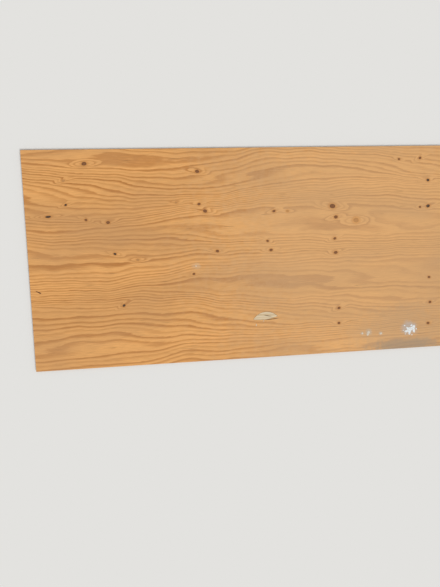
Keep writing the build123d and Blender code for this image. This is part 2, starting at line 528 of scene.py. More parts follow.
@dataclass(frozen=True)
class VeneerGrain:
    """The growth rings of one rotary-cut veneer, through its whole thickness.

    Peeling a log in one long shaving cuts each ring at a very low angle, so the rings show as
    long wavy lines that open into flames. Their shape comes from how far the log was from a true
    cylinder, which this pattern takes as slow swells and quicker waves, counted in rings.

    Attributes:
        seed: Picks the log.
        way: Which way the fibres run.
        knots: The knots that the rings flow round.
        swell, swell_rates: Rings between the lowest and highest part of the slow swells, and how
            many of them there are in a metre along each axis.
        waves: The quicker waves, which give rings.
        taper: Rings that the log gains over each metre of its length.
        slope: Rings that the knife crosses over each metre that it peels.
        depth: Rings that lie over each other in a metre of wood.
        first: Rings in the middle of the sheet, enough to count none below zero.
        onset, crest: Where in a ring, from 0 to 1, its latewood starts and is darkest.
        year_rate, faintest: How quickly the strength of the latewood differs from year to year,
            and its least strength, from 0 to 1.
        bends: How far the lines wander aside along and across the grain, in metres.
        ragged: How uneven the outlines of knots are, in knot radii.
        ring_width: Width of the rings that pile up against a knot, in millimetres.
        reach, stretch: How far from a knot they do so, in its radii, and the squeeze of that
            distance along each axis.
        far: What stands for the distance from a knot where there is none.
    """

    seed: float
    way: GrainWay = GrainWay.ALONG
    knots: tuple[Knot, ...] = ()
    swell: float = 21.0
    swell_rates: Place = (0.42, 3.1, 1)
    waves: tuple[Noise, ...] = (
        Noise((1.5, 11.0, 1), 1.0, most=2.4),
        Noise((5.0, 46.0, 1), 2.0, most=0.6),
        Noise((17.0, 310.0, 1), 1.0, most=0.34),
    )
    taper: float = 2.0
    slope: float = 42.0
    depth: float = 360.0
    first: float = 90.0
    onset: float = 0.3
    crest: float = 0.9
    year_rate: float = 0.73
    faintest: float = 0.4
    bends: tuple[Noise, ...] = (
        Noise((0.9, 2.6, 1), 1.0, least=-0.06, most=0.06),
        Noise((4.5, 2.0, 1), 1.0, least=-0.0225, most=0.0225),
    )
    ragged: Noise = Noise((130, 130, 1), 1.0, least=-0.2, most=0.2)
    ring_width: float = 12.0
    reach: float = 3.6
    stretch: Place = (0.34, 1, 1)
    far: float = 9.0

    def draw(self, pen: Pen) -> tuple[Socket, Socket]:
        """Draws the pattern in a material or in a geometry modifier.

        Args:
            pen: The pen to draw with.

        Returns:
            How much a point is dark latewood, and its distance from the nearest knot in knot radii.
        """
        turn = {"Vector": pen.place, "Angle": math.radians(self.way.value)}
        along = pen.add("VectorRotate", turn, rotation_type="Z_AXIS")
        flat = pen.add("VectorMath", (along, (1, 1, 0), (0, 0, self.seed)), operation="MULTIPLY_ADD")
        for bend in self.bends:
            sideways = pen.add("CombineXYZ", {"Y": bend.draw(pen.at(flat))})
            flat = pen.add("VectorMath", (flat, sideways), operation="ADD")
            along = pen.add("VectorMath", (along, sideways), operation="ADD")
        rates = (along, (self.taper, self.slope, self.depth))
        ring = pen.add("VectorMath", rates, out="Value", operation="DOT_PRODUCT")
        ring = pen.add("Math", (ring, self.first), operation="ADD")
        for wave in (Noise(self.swell_rates, 1.0, most=self.swell), *self.waves):
            ring = pen.add("Math", (wave.raw(pen.at(flat)), wave.most, ring), operation="MULTIPLY_ADD")
        nearest, bump = self._knots(pen)
        ring = pen.add("Math", (ring, bump), operation="ADD")
        return self._latewood(pen, ring), nearest

    def _knots(self, pen: Pen) -> tuple[Socket, Socket | float]:
        """Draws the knots and the bumps that they make in the rings.

        Args:
            pen: The pen to draw with.

        Returns:
            The distance from the nearest knot in its own radii, and the bump in rings.
        """
        nearest, bump = self.far, 0.0
        for knot in self.knots:
            offset = knot.offset(pen)
            away = pen.add("VectorMath", (offset,), out="Value", operation="LENGTH")
            nearest = pen.add("Math", (nearest, away), operation="MINIMUM")
            long = pen.add("VectorMath", (offset, self.stretch), operation="MULTIPLY")
            away = pen.add("VectorMath", (long,), out="Value", operation="LENGTH")
            links = (away, 0.0, self.reach, knot.length / self.ring_width, 0.0)
            rise = pen.add("MapRange", links, interpolation_type="SMOOTHERSTEP")
            bump = pen.add("Math", (bump, rise), operation="ADD")
        ragged = self.ragged.draw(pen)
        return pen.add("Math", (nearest, ragged), operation="ADD"), bump

    def _latewood(self, pen: Pen, ring: Socket) -> Socket:
        """Draws the dark latewood, which comes on slowly within each ring and ends sharply.

        Args:
            pen: The pen to draw with.
            ring: The count of rings.

        Returns:
            A socket from 0 in earlywood to 1 in the darkest latewood.
        """
        part = pen.add("Math", (ring,), operation="FRACT")
        rise = (part, self.onset, self.crest, 0.0, 1.0)
        fall = (part, self.crest, 1.0, 1.0, 0.0)
        rise, fall = (pen.add("MapRange", s, interpolation_type="SMOOTHSTEP") for s in (rise, fall))
        late = pen.add("Math", (rise, fall), operation="MULTIPLY")
        # The years differ, so that the latewood of some rings is faint
        number = pen.add("Math", (ring,), operation="FLOOR")
        year = {"W": number, "Scale": self.year_rate, "Detail": 0.0}
        year = pen.add("TexNoise", year, noise_dimensions="1D")
        strength = pen.add("MapRange", (year, 0.3, 0.7, self.faintest, 1.0))
        return pen.add("Math", (late, strength), operation="MULTIPLY")


def from_rim(pen: Pen, knot: Socket) -> Socket:
    """Draws how far a point lies from the rim of a knot, inside or outside it, in knot radii."""
    beyond = pen.add("Math", (knot, 1.0), operation="SUBTRACT")
    return pen.add("Math", (beyond,), operation="ABSOLUTE")


@dataclass(frozen=True)
class Finish:
    """A finish that is made by one shader.

    Attributes:
        name: The material's name.
        ior: Its index of refraction.
        bump_depth: Depth of its fine bumps, in metres.
        bump_share: How much of the bumps shows, from 0 to 1.
    """

    name: str
    _: KW_ONLY
    ior: float = 1.5
    bump_depth: float = 0.2 * MM
    bump_share: float = 0.6

    def material(self) -> bpy.types.Material:
        """Builds the material.

        Returns:
            The material.
        """
        material = bpy.data.materials.new(self.name)
        material.use_nodes = True
        material.node_tree.nodes.clear()
        pen = Pen(material.node_tree)
        look = self.look(pen.at(pen.add("TexCoord", out="Object")))
        pen.add("OutputMaterial", {"Surface": pen.add("BsdfPrincipled", look)})
        return material

    def look(self, pen: Pen) -> Look:
        """Draws what feeds the shader, by the names of its inputs."""
        raise NotImplementedError

    @staticmethod
    def layered(pen: Pen, colour: Socket | str, *layers: tuple[Socket, Socket | str]) -> Socket:
        """Lays colours over a first one. Each is a socket or written as hex.

        Args:
            pen: The pen to draw with.
            colour: The first colour.
            *layers: How much each other colour shows, from 0 to 1, and the colour.

        Returns:
            The mixed colour.
        """
        for amount, other in layers:
            under, over = (linear(c) if isinstance(c, str) else c for c in (colour, other))
            links = {MIX_FACTOR: amount, MIX_A: under, MIX_B: over}
            colour = pen.add("Mix", links, out=MIX_RESULT, data_type="RGBA")
        return colour

    def coat(self, pen: Pen, colour: Socket, rough: Socket | float, height: Socket) -> Look:
        """Gathers what feeds the shader. The height, from 0 to 1, is that of the fine bumps."""
        bump = pen.add("Bump", {"Height": height, "Distance": self.bump_depth, "Strength": self.bump_share})
        return {"Base Color": colour, "Roughness": rough, "IOR": self.ior, "Normal": bump}


@dataclass(frozen=True)
class KnotLook:
    """How the knots of a veneer look. Its distances are in knot radii.

    Attributes:
        wood, bark: Colours of a knot and of the bark round it, as hex.
        edge: Distances from its middle between which a knot's own wood gives way.
        rings, ring_show: Radians of a knot's own rings to a radius, and how much they show.
        bark_width, bark_show: How far the bark reaches from the rim, and how much it shows there.
        halo_reach, halo_show: How far the stained wood round a knot reaches from its middle, and
            how much it shows.
        pale: How far a pale knot has kept the colour of the wood round it, from 0 to 1.
    """

    wood: str = "#8C5930"
    bark: str = "#352014"
    edge: tuple[float, float] = (0.95, 1.08)
    rings: float = 26.0
    ring_show: float = 0.5
    bark_width: float = 0.2
    bark_show: float = 0.8
    halo_reach: float = 2.6
    halo_show: float = 0.55
    pale: float = 0.5


@dataclass(frozen=True)
class PeeledFinish(Finish):
    """The surface of a rotary-peeled softwood veneer that was never sanded.

    The lathe leaves it dull and faintly furry. Years outdoors turn its pale earlywood tan and its
    latewood orange brown, grey it in patches, and open fine checks along the grain.

    Attributes:
        grain: The veneer's ring pattern.
        earlywood, latewood: Colours of the two kinds of wood, as hex.
        weathered: Colour that the worst weathered patches turn to, as hex.
        wear: Strength of the weathering, from 0 to 1.
        rough: Roughness of its earlywood and of its latewood.
        stains_and_shade: Its discoloured places and its painted shade.
        stain_edge: How ragged the outline of a stain is, in its radii.
        stain_fade: Distances from its middle, in its radii, between which a stain fades out.
        knots: The look of its knots. The bark round them has the colour of its checks, which are dirt and
            painted shade.
        fibres: Lighter and darker fibres. Real ones are far under 0.1 mm wide, so bundles 4 mm
            wide and 60 mm long are drawn.
        bands: Lighter and darker bands, as the log gives them.
        patches: Where it is weathered.
        checks: Its checks, dark with dirt and painted shade. Real ones are 0.2 mm wide, so these are drawn 1
            mm to 2 mm wide and a hand long.
    """

    grain: VeneerGrain
    earlywood: str = "#E0A461"
    latewood: str = "#B47534"
    weathered: str = "#B6895B"
    wear: float = 0.7
    rough: tuple[float, float] = (0.86, 0.68)
    stains_and_shade: tuple[StainOrShade, ...] = ()
    stain_edge: Noise = Noise((38, 38, 38), 5.0, most=0.9)
    stain_fade: tuple[float, float] = (0.85, 1.6)
    knots: KnotLook = KnotLook()
    fibres: Noise = Noise((16, 250, 1), 3.0, 0.25, 0.75, 0.84, 1.12)
    bands: Noise = Noise((0.5, 7.0, 1), 2.0, 0.25, 0.75, 0.9, 1.08)
    patches: Noise = Noise((1.1, 3.4, 1), 4.0, 0.42, 0.72)
    checks: Noise = Noise((7, 190, 1), 2.0, 0.68, 0.76, most=0.5)

    def look(self, pen: Pen) -> Look:
        """Draws the wood from its rings up to its knots.

        Args:
            pen: The pen to draw with.

        Returns:
            What feeds the shader.
        """
        late, knot = self.grain.draw(pen)
        colour = self.layered(pen, self.earlywood, (late, self.latewood))
        for tone in (self.fibres, self.bands):
            toned = {0: colour, "Scale": tone.draw(pen)}
            colour = pen.add("VectorMath", toned, operation="SCALE")
        worn = replace(self.patches, most=self.wear).draw(pen)
        colour = self.layered(pen, colour, (worn, self.weathered))
        colour = self._stained_and_shaded(pen, colour, self.stains_and_shade)
        # The checks are painted dark: dirt and painted shade in cracks that are not cut
        colour = self.layered(pen, colour, (self.checks.draw(pen), self.knots.bark))
        if self.grain.knots:
            colour = self._knotted(pen, colour, knot)
        rough = pen.add("MapRange", (late, 0.0, 1.0, *self.rough))
        return self.coat(pen, colour, rough, self.fibres.raw(pen))

    def _stained_and_shaded(self, pen: Pen, colour: Socket, stains_and_shade: Sequence[StainOrShade]) -> Socket:
        """Lays stains and painted shade with ragged outlines over a colour.

        Args:
            pen: The pen to draw with.
            colour: The colour.
            stains_and_shade: The stains and the painted shade.

        Returns:
            The stained colour.
        """
        if not stains_and_shade:
            return colour
        ragged = self.stain_edge.raw(pen)
        for stain in stains_and_shade:
            reach = pen.add("VectorMath", (stain.offset(pen),), out="Value", operation="LENGTH")
            reach = pen.add("Math", (ragged, self.stain_edge.most, reach), operation="MULTIPLY_ADD")
            links = (reach, *self.stain_fade, stain.strength, 0.0)
            amount = pen.add("MapRange", links, interpolation_type="SMOOTHSTEP")
            colour = self.layered(pen, colour, (amount, stain.colour))
        return colour

    def _knotted(self, pen: Pen, colour: Socket, knot: Socket) -> Socket:
        """Lays the knots, their dark rims and the stained wood round them over a colour.

        Args:
            pen: The pen to draw with.
            colour: The colour.
            knot: The distance from the nearest knot, in knot radii.

        Returns:
            The colour with its knots.
        """
        knots = self.knots
        links = (knot, 1.0, knots.halo_reach, knots.halo_show, 0.0)
        halo = pen.add("MapRange", links, interpolation_type="SMOOTHSTEP")
        ring = pen.add("Math", (knot, knots.rings), operation="MULTIPLY")
        ring = pen.add("Math", (ring,), operation="SINE")
        ring = pen.add("MapRange", (ring, -1.0, 1.0, 0.0, knots.ring_show))
        wood = self.layered(pen, knots.wood, (ring, knots.bark))
        core = pen.add("MapRange", (knot, *knots.edge, 1.0, 0.0))
        rim = pen.add("MapRange", (from_rim(pen, knot), 0.0, knots.bark_width, knots.bark_show, 0.0))
        colour = self.layered(pen, colour, (halo, self.latewood), (core, wood), (rim, knots.bark))
        pale = [k for k in self.grain.knots if k.kind is KnotKind.PALE]
        look = (self.earlywood, knots.pale)
        blooms = [StainOrShade(k.x, k.y, 2 * k.length, 2 * k.width, 0.0, *look) for k in pale]
        return self._stained_and_shaded(pen, colour, blooms)


@dataclass(frozen=True)
class SawnFinish(Finish):
    """The sawn rim of one veneer, greyed and darkened by the weather.

    The rings of the face run on into it. Across the fibres the saw opens dark pores and the
    slanting checks that the lathe knife made. Along the fibres it leaves paler, straight lines.

    Attributes:
        grain: The veneer's ring pattern.
        end_grain: Whether the saw cut across the fibres.
        wood, line: Colours of the wood and of its rings, as hex.
        dirt, check_shade: Colours of the dirt on it and of the painted shade in its deepest checks, as hex.
        rough: Its roughness.
        grime: How much dirt lies on it.
        pores: Its fine bumps.
    """

    grain: VeneerGrain
    end_grain: bool
    wood: str
    line: str
    dirt: str = "#6F5A45"
    check_shade: str = "#2E2118"
    rough: float = 0.9
    grime: Noise = Noise((9, 9, 9), 5.0, 0.4, 0.7, 0.05, 0.6)
    checks: Noise = Noise((420, 420, 60), 1.0, 0.62, 0.7, most=0.6)
    pores: Noise = Noise((700, 700, 700), 2.0)
    _: KW_ONLY
    bump_depth: float = 0.3 * MM
    bump_share: float = 0.7

    def look(self, pen: Pen) -> Look:
        """Draws the rings, the dirt and the checks.

        Args:
            pen: The pen to draw with.

        Returns:
            What feeds the shader.
        """
        late, _ = replace(self.grain, knots=()).draw(pen)
        seeded = pen.at(pen.add("VectorMath", (pen.place, (self.grain.seed, 0, 0)), operation="ADD"))
        colour = self.layered(pen, self.wood, (late, self.line), (self.grime.draw(seeded), self.dirt))
        if self.end_grain:
            # The checks across the fibres are painted dark: painted shade in cracks that are not cut
            colour = self.layered(pen, colour, (self.checks.draw(seeded), self.check_shade))
        return self.coat(pen, colour, self.rough, self.pores.raw(seeded))


@dataclass(frozen=True)
class MottledFinish(Finish):
    """Dried acrylic paint or bare phenolic glue: one colour, mottled with grime.

    Paint dries to a chalky skin. The glue between the veneers is a dark red-brown resin that shows
    only down knotholes and gaps, where dirt collects on it and its darkness is also painted shade.

    Attributes:
        clean, grime: Its colours, as hex.
        rough: Its roughness.
        spots: Spots of grime to a metre.
    """

    clean: str
    grime: str
    rough: float
    spots: float = 160.0
    _: KW_ONLY
    ior: float = 1.49
    bump_share: float = 0.5

    def look(self, pen: Pen) -> Look:
        """Draws the grime in the low places of a slightly uneven skin.

        Args:
            pen: The pen to draw with.

        Returns:
            What feeds the shader.
        """
        skin = Noise((self.spots, self.spots, self.spots), 4.0, 0.45, 0.7, most=0.8)
        colour = self.layered(pen, self.clean, (skin.draw(pen), self.grime))
        return self.coat(pen, colour, self.rough, skin.raw(pen))


@dataclass(frozen=True)
class Sheet:
    """The board's sizes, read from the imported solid, and its lay-up.

    Attributes:
        low, high: Lowest and highest corners, in metres.
        outer: Thickness of the face and back veneers, in metres.
        inner: Thickness of each of the three inner veneers, in metres.
        corner: Radius that the corners are worn to, in metres.
        arris: Radius that the edges of the faces are worn to, in metres.
        skin: How far the weathered faces lie inside the solid, in metres.
        step: Length of the pieces that the rim is cut into, in metres.
    """

    low: Vector
    high: Vector
    outer: float = 2.5 * MM
    inner: float = 2.3 * MM
    corner: float = 4.0 * MM
    arris: float = 0.8 * MM
    skin: float = 0.04 * MM
    step: float = 12 * MM

    @property
    def size(self) -> Vector:
        """Length, width and thickness, in metres."""
        return self.high - self.low

    def envelope(self) -> Object:
        """Makes the worn outline of the whole board, which trims each veneer.

        Returns:
            A board with round corners and arrises, cut into short lengths along its rim.
        """
        middle, at_corner = (self.low + self.high) / 2, self.high.xy.length - MM
        board = added(bpy.ops.mesh.primitive_cube_add, "envelope", size=1, location=middle, scale=self.size)
        with editing(board):
            pick(board, lambda _, way: abs(way.x) > ALIGNED, Element.EDGE)
            bpy.ops.mesh.subdivide(number_cuts=round(self.size.x / self.step))
            at_end = self.high.x - MM
            pick(board, lambda spot, way: abs(way.y) > ALIGNED and abs(spot.x) > at_end, Element.EDGE)
            bpy.ops.mesh.subdivide(number_cuts=round(self.size.y / self.step))
            pick(board, lambda spot, way: abs(way.z) > ALIGNED and spot.xy.length > at_corner, Element.EDGE)
            bpy.ops.mesh.bevel(offset=self.corner, segments=4, affect="EDGES")
            pick(board, lambda spot, way: self._on_rim(spot) and abs(way.z) < 1 - ALIGNED, Element.EDGE)
            bpy.ops.mesh.bevel(offset=self.arris, segments=3, affect="EDGES")
        return board

    def _on_rim(self, place: Vector) -> bool:
        """Finds the sharp rims of the board's upper and lower faces, with the corners already round.

        Args:
            place: The middle of an edge, in metres.

        Returns:
            Whether it lies on such a rim.
        """
        near = 0.01 * MM
        on_face = min(abs(place.z - self.low.z), abs(place.z - self.high.z)) < near
        inset = Vector((self.high.x - abs(place.x), self.high.y - abs(place.y)))
        if inset.x > self.corner or inset.y > self.corner:
            return on_face and min(inset) < near
        from_centre = Vector((self.corner, self.corner)) - inset
        return on_face and from_centre.length > self.corner - 0.2 * MM


class Side(Enum):
    """The sides of a veneer, each with its own band of the map that its textures are baked to."""

    OPEN = "open flat side"
    GLUED = "glued flat side"
    NEAR = "near rim"
    FAR = "far rim"
    LEFT = "left rim"
    RIGHT = "right rim"
    WALL_Y = "walls of holes that face along Y"
    WALL_X = "walls of holes that face along X"


@dataclass(frozen=True)
class BakeMap:
    """Lays a veneer out on a square map for its textures.

    The grain is finer across the sheet than along it, so the open flat side is stretched to fill
    its band. A long rim is cut into rows that lie one over the other.

    Attributes:
        sheet: The board.
        floor, thickness: Height of the veneer's underside and its thickness, in metres.
        shares: Height of each side's band, as a share of the map.
        rows: Rows that a rim is cut into.
        side_margin, row_margin: Room left beside and between the rows, as shares of them.
    """

    sheet: Sheet
    floor: float
    thickness: float
    shares: dict[Side, float]
    rows: int
    side_margin: float = 0.02
    row_margin: float = 0.1

    def lay(self, veneer: Object, side_of: Callable[[bpy.types.MeshPolygon], Side]) -> None:
        """Gives the veneer its map.

        Args:
            veneer: The veneer.
            side_of: Says which side a face is on.
        """
        starts = dict(zip(self.shares, accumulate(self.shares.values(), initial=0.0)))
        mesh = veneer.data
        spots = []
        for face in mesh.polygons:
            side = side_of(face)
            rows = self.rows if side in (Side.NEAR, Side.FAR, Side.LEFT, Side.RIGHT) else 1
            row = min(rows - 1, int(self._shares_of(side, face.center)[0] * rows))
            for index in face.vertices:
                along, up = self._shares_of(side, mesh.vertices[index].co)
                across = self.side_margin + (1 - 2 * self.side_margin) * (along * rows - row)
                level = row + self.row_margin + (1 - 2 * self.row_margin) * up
                spots += [across, starts[side] + self.shares[side] * level / rows]
        mesh.uv_layers.new(name="OFBake").uv.foreach_set("vector", spots)

    def _shares_of(self, side: Side, place: Vector) -> tuple[float, float]:
        """Finds how far along and up its side a point lies.

        Args:
            side: The side.
            place: The point, in metres.

        Returns:
            Both, each from 0 to 1.
        """
        x, y = ((place[i] - self.sheet.low[i]) / self.sheet.size[i] for i in range(2))
        up = (place.z - self.floor) / self.thickness
        if side in (Side.OPEN, Side.GLUED):
            return x, y
        return (y if side in (Side.LEFT, Side.RIGHT, Side.WALL_X) else x), up


class Facing(IntEnum):
    """Which way the open surface of a veneer faces."""

    DOWN = -1
    NOWHERE = 0
    UP = 1


@dataclass(frozen=True)
class Relief:
    """What the weather has taken off a veneer's open surface and off its sawn rim.

    Soft earlywood wears back and the hard latewood and the knots stay proud.

    Attributes:
        grain: The veneer's ring pattern.
        facing: Which way its open surface faces.
        depth: How far the earlywood has worn back, in metres.
        rim_depth: How far the rim is bitten back at most, in metres.
        level: How level the surface is, from 0 to 1, where it starts to wear and wears in full.
        crest: Where in a ring, from 0 to 1, it stands highest. A crest as sharp as the colour's
            would fall between two points of the grid.
        knot_edge: Distances from its middle, in its radii, between which a knot's hard wood ends.
        groove: How deep the groove round a knot is, as a share of the depth.
        groove_width: How far the groove reaches from the knot's rim, in its radii.
    """

    grain: VeneerGrain
    facing: Facing
    depth: float = 0.26 * MM
    rim_depth: float = 0.5 * MM
    level: tuple[float, float] = (0.7, 0.97)
    crest: float = 0.8
    knot_edge: tuple[float, float] = (0.9, 1.1)
    groove: float = 1.4
    groove_width: float = 0.3

    def wear(self, veneer: Object) -> None:
        """Wears the veneer by a modifier that is applied.

        Args:
            veneer: The veneer.
        """
        tree = bpy.data.node_groups.new("wear", "GeometryNodeTree")
        for way in ("INPUT", "OUTPUT"):
            tree.interface.new_socket("Geometry", in_out=way, socket_type="NodeSocketGeometry")
        pen = Pen(tree)
        solid = pen.add("NodeGroupInput")
        pen = pen.at(pen.add("GeometryNodeInputPosition"))
        normal = pen.add("GeometryNodeInputNormal")
        offset = self._bitten(pen, normal)
        if self.facing:
            worn = self._worn_back(pen, normal)
            offset = pen.add("VectorMath", (offset, worn), operation="ADD")
        moved = pen.add("GeometryNodeSetPosition", {"Geometry": solid, "Offset": offset})
        pen.add("NodeGroupOutput", (moved,))
        finish_with(veneer, "NODES", node_group=tree)
        bpy.data.node_groups.remove(tree)

    def _bitten(self, pen: Pen, normal: Socket) -> Socket:
        """Draws how the rim is bitten back, a little differently on each veneer.

        Args:
            pen: The pen to draw with.
            normal: The surface's way at that point.

        Returns:
            How far the point moves, in metres.
        """
        level = pen.add("VectorMath", (normal, (1, 1, 0)), operation="MULTIPLY")
        seeded = pen.at(pen.add("VectorMath", (pen.place, (0, 0, self.grain.seed)), operation="ADD"))
        bites = Noise((26, 26, 26), 4.0, 0.3, 0.75, most=-self.rim_depth).draw(seeded)
        return pen.add("VectorMath", {0: level, "Scale": bites}, operation="SCALE")

    def _worn_back(self, pen: Pen, normal: Socket) -> Socket:
        """Draws how far the open surface has worn back.

        Args:
            pen: The pen to draw with.
            normal: The surface's way at that point.

        Returns:
            How far the point moves, in metres.
        """
        facing = pen.add("SeparateXYZ", (normal,), out="Z")
        start, stop = (share * self.facing for share in self.level)
        flat = pen.add("MapRange", (facing, start, stop, 0.0, 1.0))
        late, knot = replace(self.grain, crest=self.crest).draw(pen)
        soft = pen.add("Math", (1.0, late), operation="SUBTRACT")
        off_knot = pen.add("MapRange", (knot, *self.knot_edge, 0.0, 1.0))
        soft = pen.add("Math", (soft, off_knot), operation="MULTIPLY")
        groove = pen.add("MapRange", (from_rim(pen, knot), 0.0, self.groove_width, self.groove, 0.0))
        drop = pen.add("Math", (soft, groove), operation="MAXIMUM")
        drop = pen.add("Math", (drop, flat), operation="MULTIPLY")
        drop = pen.add("Math", (drop, -self.depth * self.facing), operation="MULTIPLY")
        return pen.add("CombineXYZ", {"Z": drop})


@dataclass(frozen=True)
class RepairPatch:
    """The lens-shaped patch of paler veneer that the mill let into the face.

    Attributes:
        outline: The recess that it is in.
        joint: Width of the open joint round it, in millimetres.
        sink: How far it lies below the face, in metres.
        grain: Its ring pattern.
        worn, rim_worn: How far its surface and its rim are worn back, in metres.
        colours: Its earlywood, its latewood and its weathered places, as hex.
        wear: Strength of its weathering, from 0 to 1.
        dark: Dirt and painted shade along the check.
        cells: Cells of the grid on its surface, along and across it.
        overhang: How much larger than the outline the grid is laid, in millimetres.
    """

    outline: Lens = Lens(100, -374, 147, 46, 5.0, bow=12)
    check: Lens = Lens(115, -363.5, 48, 1.4, -13.0, sides=96)
    joint: float = 0.7
    sink: float = 0.12 * MM
    grain: VeneerGrain = VeneerGrain(seed=61.0, swell=20.0)
    worn: float = 0.12 * MM
    rim_worn: float = 0.1 * MM
    colours: tuple[str, str, str] = ("#DDC8A6", "#C2A67C", "#BFAF97")
    wear: float = 0.5
    # Dirt and painted shade along the check
    dark: StainOrShade = StainOrShade(115, -363.5, 56, 6, -13.0, "#6A5238", 0.85)
    cells: tuple[int, int] = (46, 26)
    overhang: float = 4.0

    def build(self, sheet: Sheet) -> Object:
        """Args:
            sheet: The board that it is in.

        Returns:
            The finished piece.
        """
        outline, check = self.outline, self.check
        floor = sheet.high.z - sheet.outer
        top = sheet.high.z - sheet.skin - self.sink
        reach = ((outline.length + self.overhang) * MM, (outline.width + self.overhang) * MM)
        patch = grid_slab("repair_patch", (0, outline.bow * MM, top), reach, self.cells, floor)
        settle(patch, (outline.x * MM, outline.y * MM, 0), outline.turn)
        cut(patch, outline.solid(floor - MM, top + MM, self.joint), Leaving.INSIDE)
        cut(patch, check.solid(top - MM, top + MM))
        Relief(self.grain, Facing.UP, self.worn, self.rim_worn).wear(patch)
        finish = PeeledFinish("patch_veneer", self.grain, *self.colours, self.wear, stains_and_shade=(self.dark,))
        patch.data.materials.append(finish.material())
        smooth(patch)
        return patch


@dataclass(frozen=True)
class Gouge:
    """The curved gouge near the left end of the face, all in millimetres and degrees.

    Attributes:
        x, y: Its middle, from the middle of the sheet.
        chord: Its length from tip to tip.
        bow: How far its middle lies off its chord.
        turn: The way from +X to its chord.
        radius, depth: Radius and depth of its hollow.
    """

    x: float = -1177.2
    y: float = -164.1
    chord: float = 29.0
    bow: float = 1.6
    turn: float = -28.0
    radius: float = 1.7
    depth: float = 0.9

    def bar(self, face: float) -> Object:
        """Makes the round bar, lying on a shallow arc, that cuts the gouge.

        Args:
            face: Height of the face, in metres.

        Returns:
            The bar.
        """
        bend = (self.chord**2 / 4 + self.bow**2) / (2 * self.bow)
        half_angle = math.asin(self.chord / 2 / bend)
        height = face + (self.radius - self.depth) * MM
        way = (math.pi / 2, 0, math.pi / 2 + half_angle)
        start = {"radius": self.radius * MM, "location": (-self.chord / 2 * MM, 0, height), "rotation": way}
        bar = added(bpy.ops.mesh.primitive_circle_add, "gouge", vertices=16, fill_type="NGON", **start)
        with editing(bar):
            bpy.ops.mesh.select_all(action="SELECT")
            centre = (0, (self.bow - bend) * MM, height)
            bpy.ops.mesh.spin(steps=12, angle=2 * half_angle, center=centre, axis=(0, 0, 1))
            face_outwards()
        settle(bar, (self.x * MM, self.y * MM, 0), self.turn)
        return bar


@dataclass
class Veneer:
    """One veneer of the sheet, as a closed solid.

    Attributes:
        name: The piece's name.
        sheet: The board that it is part of.
        floor: Height of its underside, in metres.
        thickness: Its thickness, in metres.
        grain: Its ring pattern.
        gaps: Its gaps and splits that are open at the rim.
        facing: Which way its open surface faces.
        overhang: How much larger than the board it is laid up, in metres.
        map_rows: Rows that its rims are cut into on the map that its textures are baked to.
        map_shares: Height of each side's band of that map, in the order of the sides.
    """

    name: str
    sheet: Sheet
    floor: float
    thickness: float
    grain: VeneerGrain
    gaps: tuple[RimGap, ...] = ()
    facing: Facing = Facing.NOWHERE
    overhang: float = 10 * MM
    map_rows: int = 8
    map_shares: tuple[float, ...] = (0.01, 0.03, 0.23, 0.23, 0.23, 0.23, 0.02, 0.02)

    def build(self, envelope: Object) -> Object:
        """Lays the veneer up, cuts, trims, wears and dresses it.

        Args:
            envelope: The board's outline, which stays as it is.

        Returns:
            The finished piece.
        """
        veneer = self.lay_up()
        outline = envelope.copy()
        outline.data = envelope.data.copy()
        bpy.context.scene.collection.objects.link(outline)
        cut(veneer, outline, Leaving.INSIDE)
        cutters = self.cutters()
        join(cutters)
        cut(veneer, cutters[0])
        shares = dict(zip(Side, self.map_shares))
        BakeMap(self.sheet, self.floor, self.thickness, shares, self.map_rows).lay(veneer, self.side_of)
        self.dress(veneer)
        Relief(self.grain, self.facing).wear(veneer)
        smooth(veneer)
        return veneer

    def lay_up(self) -> Object:
        """Makes the untrimmed veneer, a little larger than the board.

        Returns:
            The veneer.
        """
        middle = (0, 0, self.floor + self.thickness / 2)
        size = (self.sheet.size.x + self.overhang, self.sheet.size.y + self.overhang, self.thickness)
        return added(bpy.ops.mesh.primitive_cube_add, self.name, size=1, location=middle, scale=size)

    def cutters(self) -> list[Object]:
        """Makes what is cut out of the veneer, as solids that don't touch each other."""
        return [gap.wedge(self.floor - MM, self.thickness + 2 * MM) for gap in self.gaps]

    def side_of(self, face: bpy.types.MeshPolygon) -> Side:
        """Says which side of the veneer a face is on.

        Args:
            face: The face.

        Returns:
            Its side.
        """
        way, level = face.normal, 0.6
        if abs(way.z) > level:
            return Side.OPEN if self.facing * way.z > 0 else Side.GLUED
        along = abs(way.x) > abs(way.y)
        if min(self.sheet.high[i] - abs(face.center[i]) for i in range(2)) > self.sheet.corner:
            return Side.WALL_X if along else Side.WALL_Y
        if along:
            return Side.RIGHT if way.x > 0 else Side.LEFT
        return Side.FAR if way.y > 0 else Side.NEAR

    def surface(self) -> Finish:
        """The finish of the veneer's open side."""
        return self.glue()

    def glue(self) -> Finish:
        """The finish of the veneer's glued sides: dark glue and dirt, and painted shade down knotholes and
        gaps.
        """
        return MottledFinish(f"{self.name}_phenolic_glue_and_shade", "#4E3722", "#2F2117", rough=0.6, spots=60.0)

    def dress(self, veneer: Object) -> None:
        """Gives the veneer's open, glued, end-grain and side-grain faces their materials.

        Args:
            veneer: The veneer.
        """
        ends = SawnFinish(f"{self.name}_end_grain", self.grain, True, "#8C6039", "#5A3B20")
        sides = SawnFinish(f"{self.name}_side_grain", self.grain, False, "#CB9A64", "#9C6A38")
        for finish in (self.surface(), self.glue(), ends, sides):
            veneer.data.materials.append(finish.material())
        across = (Side.LEFT, Side.RIGHT, Side.WALL_X)
        along = self.grain.way is GrainWay.ALONG
        for face in veneer.data.polygons:
            side = self.side_of(face)
            if side in (Side.OPEN, Side.GLUED):
                face.material_index = 0 if side is Side.OPEN else 1
            else:
                face.material_index = 2 if (side in across) is along else 3


